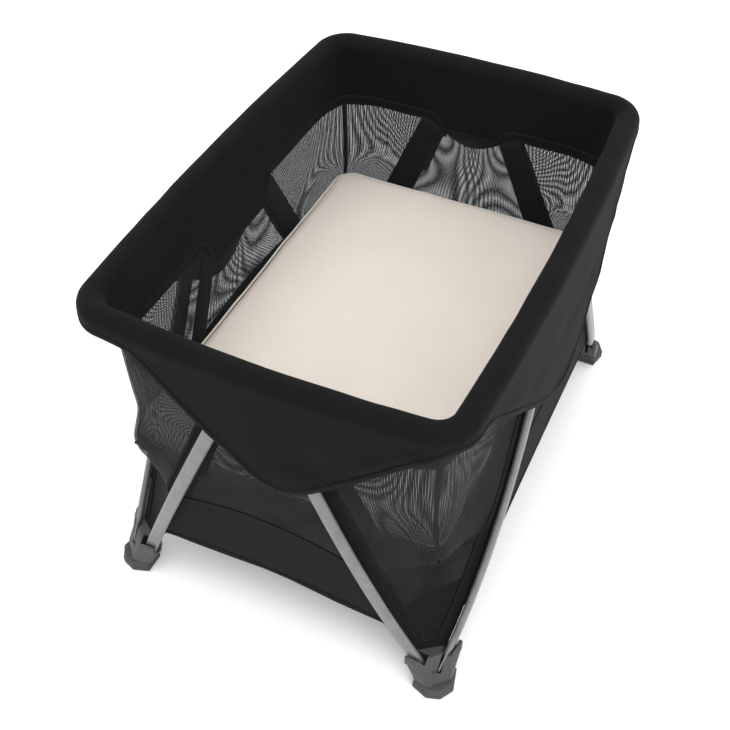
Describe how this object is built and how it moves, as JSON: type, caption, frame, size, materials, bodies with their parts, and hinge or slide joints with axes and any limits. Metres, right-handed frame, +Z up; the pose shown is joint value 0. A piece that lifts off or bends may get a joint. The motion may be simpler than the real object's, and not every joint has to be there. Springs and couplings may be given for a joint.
{
  "type": "travel play yard",
  "caption": "Folding travel play yard: padded rim on slanted tube legs, mesh walls, corner feet, hanging bassinet with a sheeted mattress.",
  "frame": {"origin": "on the floor, under the middle of the play yard", "axes": "+X along the length, +Y along the width towards the back, +Z up"},
  "size_m": [1.113, 0.798, 0.775],
  "materials": {
    "leg_tube": "satin grey powder coat",
    "floor_bar": "satin",
    "grey_plastic": "fine moulded grain",
    "dark_rubber": "matte",
    "rim_fabric": "woven polyester",
    "wall_mesh": "open knitted mesh",
    "floor_fabric": "woven polyester",
    "mattress_sheet": "soft cotton jersey",
    "webbing": "nylon webbing"
  },
  "bodies": {
    "foot_front_left": {"foot_front_left": "grey_plastic", "foot_pad_front_left": "dark_rubber", "corner_panel_front_left": "wall_mesh"},
    "floor_bar_front_left": {"floor_bar_front_left": "floor_bar"},
    "long_leg_front_left": {"long_leg_front_left": "leg_tube"},
    "short_leg_front_left": {"short_leg_front_left": "leg_tube"},
    "side_rail_front_left": {"side_rail_front_left": "leg_tube"},
    "end_rail_front_left": {"end_rail_front_left": "leg_tube"},
    "rim_corner_front_left": {"rim_corner_front_left": "grey_plastic"},
    "foot_front_right": {"foot_front_right": "grey_plastic", "foot_pad_front_right": "dark_rubber", "corner_panel_front_right": "wall_mesh"},
    "floor_bar_front_right": {"floor_bar_front_right": "floor_bar"},
    "long_leg_front_right": {"long_leg_front_right": "leg_tube"},
    "short_leg_front_right": {"short_leg_front_right": "leg_tube"},
    "side_rail_front_right": {"side_rail_front_right": "leg_tube"},
    "end_rail_front_right": {"end_rail_front_right": "leg_tube"},
    "rim_corner_front_right": {"rim_corner_front_right": "grey_plastic"},
    "foot_back_right": {"foot_back_right": "grey_plastic", "foot_pad_back_right": "dark_rubber", "corner_panel_back_right": "wall_mesh"},
    "floor_bar_back_right": {"floor_bar_back_right": "floor_bar"},
    "long_leg_back_right": {"long_leg_back_right": "leg_tube"},
    "short_leg_back_right": {"short_leg_back_right": "leg_tube"},
    "side_rail_back_right": {"side_rail_back_right": "leg_tube"},
    "end_rail_back_right": {"end_rail_back_right": "leg_tube"},
    "rim_corner_back_right": {"rim_corner_back_right": "grey_plastic"},
    "foot_back_left": {"foot_back_left": "grey_plastic", "foot_pad_back_left": "dark_rubber", "corner_panel_back_left": "wall_mesh"},
    "floor_bar_back_left": {"floor_bar_back_left": "floor_bar"},
    "long_leg_back_left": {"long_leg_back_left": "leg_tube"},
    "short_leg_back_left": {"short_leg_back_left": "leg_tube"},
    "side_rail_back_left": {"side_rail_back_left": "leg_tube"},
    "end_rail_back_left": {"end_rail_back_left": "leg_tube"},
    "rim_corner_back_left": {"rim_corner_back_left": "grey_plastic"},
    "rail_hub_front": {"rail_hub_front": "grey_plastic", "rim_front": "rim_fabric", "wall_front": "wall_mesh"},
    "rail_hub_right": {"rail_hub_right": "grey_plastic", "rim_right": "rim_fabric", "wall_right": "wall_mesh"},
    "rail_hub_back": {"rail_hub_back": "grey_plastic", "rim_back": "rim_fabric", "wall_back": "wall_mesh"},
    "rail_hub_left": {"rail_hub_left": "grey_plastic", "rim_left": "rim_fabric", "wall_left": "wall_mesh"},
    "floor_hub": {"floor_hub": "grey_plastic", "centre_foot": "dark_rubber", "yard_floor": "floor_fabric"},
    "fold_handle": {"fold_handle": "grey_plastic", "pull_strap": "webbing"},
    "bassinet": {"bassinet_walls": "wall_mesh", "bassinet_floor": "floor_fabric"},
    "mattress": {"mattress": "mattress_sheet"}
  },
  "joints": [
    {"name": "frame_fold", "type": "hinge", "parent": "foot_front_left", "child": "floor_bar_front_left", "pos_m": [-0.49, -0.335, 0.065], "axis": [0.5644, -0.8255, 0], "range_deg": [0, 82], "deforming": ["corner_panel_front_left", "corner_panel_front_right", "corner_panel_back_right", "corner_panel_back_left", "rim_front", "wall_front", "rim_right", "wall_right", "rim_back", "wall_back", "rim_left", "wall_left", "yard_floor", "bassinet_walls", "bassinet_floor", "mattress"]},
    {"name": "hub_level", "type": "hinge", "parent": "floor_bar_front_left", "child": "floor_hub", "pos_m": [-0.04953, -0.03386, 0.065], "axis": [0.5644, -0.8255, 0], "range_deg": [-82.02, 0]},
    {"name": "bar_fold_front_right", "type": "hinge", "parent": "floor_hub", "child": "floor_bar_front_right", "pos_m": [0.04953, -0.03386, 0.065], "axis": [0.5644, 0.8255, 0], "range_deg": [0, 82.02]},
    {"name": "foot_level_front_right", "type": "hinge", "parent": "floor_bar_front_right", "child": "foot_front_right", "pos_m": [0.49, -0.335, 0.065], "axis": [0.5644, 0.8255, 0], "range_deg": [-82.02, 0]},
    {"name": "bar_fold_back_right", "type": "hinge", "parent": "floor_hub", "child": "floor_bar_back_right", "pos_m": [0.04953, 0.03386, 0.065], "axis": [-0.5644, 0.8255, 0], "range_deg": [0, 82.02]},
    {"name": "foot_level_back_right", "type": "hinge", "parent": "floor_bar_back_right", "child": "foot_back_right", "pos_m": [0.49, 0.335, 0.065], "axis": [-0.5644, 0.8255, 0], "range_deg": [-82.02, 0]},
    {"name": "bar_fold_back_left", "type": "hinge", "parent": "floor_hub", "child": "floor_bar_back_left", "pos_m": [-0.04953, 0.03386, 0.065], "axis": [-0.5644, -0.8255, 0], "range_deg": [0, 82.02]},
    {"name": "foot_level_back_left", "type": "hinge", "parent": "floor_bar_back_left", "child": "foot_back_left", "pos_m": [-0.49, 0.335, 0.065], "axis": [-0.5644, -0.8255, 0], "range_deg": [-82.02, 0]},
    {"name": "long_leg_fold_front_left", "type": "hinge", "parent": "foot_front_left", "child": "long_leg_front_left", "pos_m": [-0.505, -0.364, 0.06], "axis": [0, -1, 0], "range_deg": [0, 30.19]},
    {"name": "short_leg_fold_front_left", "type": "hinge", "parent": "foot_front_left", "child": "short_leg_front_left", "pos_m": [-0.517, -0.32, 0.06], "axis": [1, 0, 0], "range_deg": [0, 21.95]},
    {"name": "long_leg_fold_front_right", "type": "hinge", "parent": "foot_front_right", "child": "long_leg_front_right", "pos_m": [0.505, -0.364, 0.06], "axis": [0, 1, 0], "range_deg": [0, 30.19]},
    {"name": "short_leg_fold_front_right", "type": "hinge", "parent": "foot_front_right", "child": "short_leg_front_right", "pos_m": [0.517, -0.32, 0.06], "axis": [1, 0, 0], "range_deg": [0, 21.95]},
    {"name": "long_leg_fold_back_right", "type": "hinge", "parent": "foot_back_right", "child": "long_leg_back_right", "pos_m": [0.505, 0.364, 0.06], "axis": [0, 1, 0], "range_deg": [0, 30.19]},
    {"name": "short_leg_fold_back_right", "type": "hinge", "parent": "foot_back_right", "child": "short_leg_back_right", "pos_m": [0.517, 0.32, 0.06], "axis": [-1, 0, 0], "range_deg": [0, 21.95]},
    {"name": "long_leg_fold_back_left", "type": "hinge", "parent": "foot_back_left", "child": "long_leg_back_left", "pos_m": [-0.505, 0.364, 0.06], "axis": [0, -1, 0], "range_deg": [0, 30.19]},
    {"name": "short_leg_fold_back_left", "type": "hinge", "parent": "foot_back_left", "child": "short_leg_back_left", "pos_m": [-0.517, 0.32, 0.06], "axis": [-1, 0, 0], "range_deg": [0, 21.95]},
    {"name": "rail_hub_level_front", "type": "hinge", "parent": "long_leg_front_left", "child": "rail_hub_front", "pos_m": [-0.08, -0.376, 0.7], "axis": [0, -1, 0], "range_deg": [-30.19, 0]},
    {"name": "rail_hub_level_right", "type": "hinge", "parent": "short_leg_front_right", "child": "rail_hub_right", "pos_m": [0.522, -0.04, 0.7], "axis": [1, 0, 0], "range_deg": [-21.95, 0]},
    {"name": "rail_hub_level_back", "type": "hinge", "parent": "long_leg_back_right", "child": "rail_hub_back", "pos_m": [0.08, 0.376, 0.7], "axis": [0, 1, 0], "range_deg": [-30.19, 0]},
    {"name": "rail_hub_level_left", "type": "hinge", "parent": "short_leg_back_left", "child": "rail_hub_left", "pos_m": [-0.522, 0.04, 0.7], "axis": [-1, 0, 0], "range_deg": [-21.95, 0]},
    {"name": "side_rail_fold_front_left", "type": "hinge", "parent": "rail_hub_front", "child": "side_rail_front_left", "pos_m": [-0.105, -0.357, 0.751], "axis": [0, -1, 0], "range_deg": [0, 93.41]},
    {"name": "end_rail_fold_front_left", "type": "hinge", "parent": "rail_hub_left", "child": "end_rail_front_left", "pos_m": [-0.503, -0.02658, 0.751], "axis": [1, 0, 0], "range_deg": [0, 83.85]},
    {"name": "rim_corner_level_front_left", "type": "hinge", "parent": "side_rail_front_left", "child": "rim_corner_front_left", "pos_m": [-0.463, -0.357, 0.751], "axis": [0, -1, 0], "range_deg": [-93.41, 0]},
    {"name": "side_rail_fold_front_right", "type": "hinge", "parent": "rail_hub_front", "child": "side_rail_front_right", "pos_m": [0.105, -0.357, 0.751], "axis": [0, 1, 0], "range_deg": [0, 93.41]},
    {"name": "end_rail_fold_front_right", "type": "hinge", "parent": "rail_hub_right", "child": "end_rail_front_right", "pos_m": [0.503, -0.02658, 0.751], "axis": [1, 0, 0], "range_deg": [0, 83.85]},
    {"name": "rim_corner_level_front_right", "type": "hinge", "parent": "end_rail_front_right", "child": "rim_corner_front_right", "pos_m": [0.503, -0.317, 0.751], "axis": [1, 0, 0], "range_deg": [-83.85, 0]},
    {"name": "side_rail_fold_back_right", "type": "hinge", "parent": "rail_hub_back", "child": "side_rail_back_right", "pos_m": [0.105, 0.357, 0.751], "axis": [0, 1, 0], "range_deg": [0, 93.41]},
    {"name": "end_rail_fold_back_right", "type": "hinge", "parent": "rail_hub_right", "child": "end_rail_back_right", "pos_m": [0.503, 0.02658, 0.751], "axis": [-1, 0, 0], "range_deg": [0, 83.85]},
    {"name": "rim_corner_level_back_right", "type": "hinge", "parent": "side_rail_back_right", "child": "rim_corner_back_right", "pos_m": [0.463, 0.357, 0.751], "axis": [0, 1, 0], "range_deg": [-93.41, 0]},
    {"name": "side_rail_fold_back_left", "type": "hinge", "parent": "rail_hub_back", "child": "side_rail_back_left", "pos_m": [-0.105, 0.357, 0.751], "axis": [0, -1, 0], "range_deg": [0, 93.41]},
    {"name": "end_rail_fold_back_left", "type": "hinge", "parent": "rail_hub_left", "child": "end_rail_back_left", "pos_m": [-0.503, 0.02658, 0.751], "axis": [-1, 0, 0], "range_deg": [0, 83.85]},
    {"name": "rim_corner_level_back_left", "type": "hinge", "parent": "end_rail_back_left", "child": "rim_corner_back_left", "pos_m": [-0.503, 0.317, 0.751], "axis": [-1, 0, 0], "range_deg": [-83.85, 0]},
    {"name": "handle_pull", "type": "slide", "parent": "floor_hub", "child": "fold_handle", "axis": [0, 0, 1], "range_m": [0, 0.03]},
    {"name": "bassinet_lift", "type": "slide", "parent": "floor_hub", "child": "bassinet", "axis": [0, 0, 1], "range_m": [0, 0.45]},
    {"name": "mattress_lift", "type": "slide", "parent": "bassinet", "child": "mattress", "axis": [0, 0, 1], "range_m": [0, 0.35]}
  ],
  "couplings": [
    {"joint": "hub_level", "follows": "frame_fold", "ratio": -1},
    {"joint": "bar_fold_front_right", "follows": "frame_fold", "ratio": 1},
    {"joint": "foot_level_front_right", "follows": "frame_fold", "ratio": -1},
    {"joint": "bar_fold_back_right", "follows": "frame_fold", "ratio": 1},
    {"joint": "foot_level_back_right", "follows": "frame_fold", "ratio": -1},
    {"joint": "bar_fold_back_left", "follows": "frame_fold", "ratio": 1},
    {"joint": "foot_level_back_left", "follows": "frame_fold", "ratio": -1},
    {"joint": "long_leg_fold_front_left", "follows": "frame_fold", "ratio": 0.36788},
    {"joint": "short_leg_fold_front_left", "follows": "frame_fold", "ratio": 0.26738},
    {"joint": "long_leg_fold_front_right", "follows": "frame_fold", "ratio": 0.36788},
    {"joint": "short_leg_fold_front_right", "follows": "frame_fold", "ratio": 0.26738},
    {"joint": "long_leg_fold_back_right", "follows": "frame_fold", "ratio": 0.36788},
    {"joint": "short_leg_fold_back_right", "follows": "frame_fold", "ratio": 0.26738},
    {"joint": "long_leg_fold_back_left", "follows": "frame_fold", "ratio": 0.36788},
    {"joint": "short_leg_fold_back_left", "follows": "frame_fold", "ratio": 0.26738},
    {"joint": "rail_hub_level_front", "follows": "frame_fold", "ratio": -0.36788},
    {"joint": "rail_hub_level_right", "follows": "frame_fold", "ratio": -0.26738},
    {"joint": "rail_hub_level_back", "follows": "frame_fold", "ratio": -0.36788},
    {"joint": "rail_hub_level_left", "follows": "frame_fold", "ratio": -0.26738},
    {"joint": "side_rail_fold_front_left", "follows": "frame_fold", "ratio": 1.1389},
    {"joint": "end_rail_fold_front_left", "follows": "frame_fold", "ratio": 1.0224},
    {"joint": "rim_corner_level_front_left", "follows": "frame_fold", "ratio": -1.1389},
    {"joint": "side_rail_fold_front_right", "follows": "frame_fold", "ratio": 1.1389},
    {"joint": "end_rail_fold_front_right", "follows": "frame_fold", "ratio": 1.0224},
    {"joint": "rim_corner_level_front_right", "follows": "frame_fold", "ratio": -1.0224},
    {"joint": "side_rail_fold_back_right", "follows": "frame_fold", "ratio": 1.1389},
    {"joint": "end_rail_fold_back_right", "follows": "frame_fold", "ratio": 1.0224},
    {"joint": "rim_corner_level_back_right", "follows": "frame_fold", "ratio": -1.1389},
    {"joint": "side_rail_fold_back_left", "follows": "frame_fold", "ratio": 1.1389},
    {"joint": "end_rail_fold_back_left", "follows": "frame_fold", "ratio": 1.0224},
    {"joint": "rim_corner_level_back_left", "follows": "frame_fold", "ratio": -1.0224}
  ]
}
